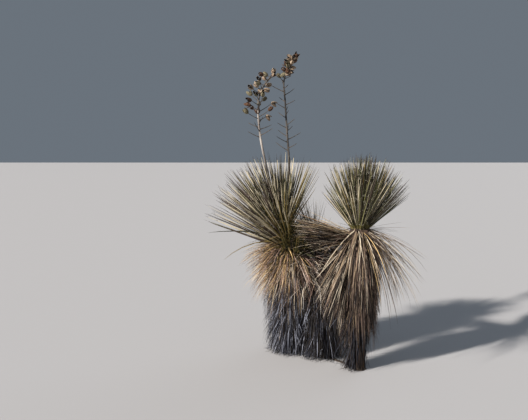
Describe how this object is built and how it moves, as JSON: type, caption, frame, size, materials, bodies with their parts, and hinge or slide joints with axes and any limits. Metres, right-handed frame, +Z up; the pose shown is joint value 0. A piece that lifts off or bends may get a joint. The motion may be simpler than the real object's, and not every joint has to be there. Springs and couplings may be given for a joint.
{
  "type": "soaptree yucca",
  "caption": "Soaptree yucca clump: heads of stiff green leaves over hanging skirts of dead ones, with dry flower stalks and split seed pods, rooted at one crown.",
  "frame": {"origin": "on the flat cut at ground level, under the middle stem", "axes": "+Z up, +X towards the right-hand head as the picture shows the clump, +Y away from the viewer"},
  "size_m": [2.0429, 1.6677, 2.8554],
  "materials": {
    "bark": "weathered, fibrous",
    "stalk_wood": "weathered, dry",
    "twig": "weathered, dry",
    "pod": "dry, split, dark inside",
    "green_leaf": "satin, pale margins",
    "pale_leaf": "dry, matt",
    "golden_leaf": "dry, satin",
    "straw_leaf": "dry, satin",
    "brown_leaf": "dry, matt",
    "grey_leaf": "bleached, matt"
  },
  "bodies": {
    "root": {"root_crown": "bark", "left_stem": "bark", "middle_stem": "bark", "right_stem": "bark", "left_stalk": "stalk_wood", "right_stalk": "stalk_wood", "left_bare_twigs": "twig", "right_bare_twigs_low": "twig", "right_bare_twigs_high": "twig", "left_pods_low": "pod", "left_pods_high": "pod", "right_pods": "pod", "left_crown_low": "green_leaf", "left_crown_middle": "green_leaf", "left_crown_top": "green_leaf", "right_crown_low": "green_leaf", "right_crown_middle": "green_leaf", "right_crown_top": "green_leaf", "middle_crown_tuft": "pale_leaf", "left_skirt_front": "golden_leaf", "left_skirt_outer": "golden_leaf", "left_skirt_back": "golden_leaf", "right_skirt_front": "straw_leaf", "right_skirt_outer": "straw_leaf", "right_skirt_back": "straw_leaf", "right_skirt_inner": "straw_leaf", "right_thatch_front": "straw_leaf", "right_thatch_outer": "straw_leaf", "right_thatch_back": "straw_leaf", "right_dead_fan": "brown_leaf", "middle_skirt_front": "brown_leaf", "middle_skirt_outer": "brown_leaf", "middle_skirt_back": "brown_leaf", "left_thatch_front": "grey_leaf", "left_thatch_outer": "grey_leaf", "left_thatch_back": "grey_leaf", "middle_thatch_front": "grey_leaf", "middle_thatch_outer": "grey_leaf", "middle_thatch_back": "grey_leaf", "right_thatch_low": "grey_leaf"}
  },
  "joints": []
}
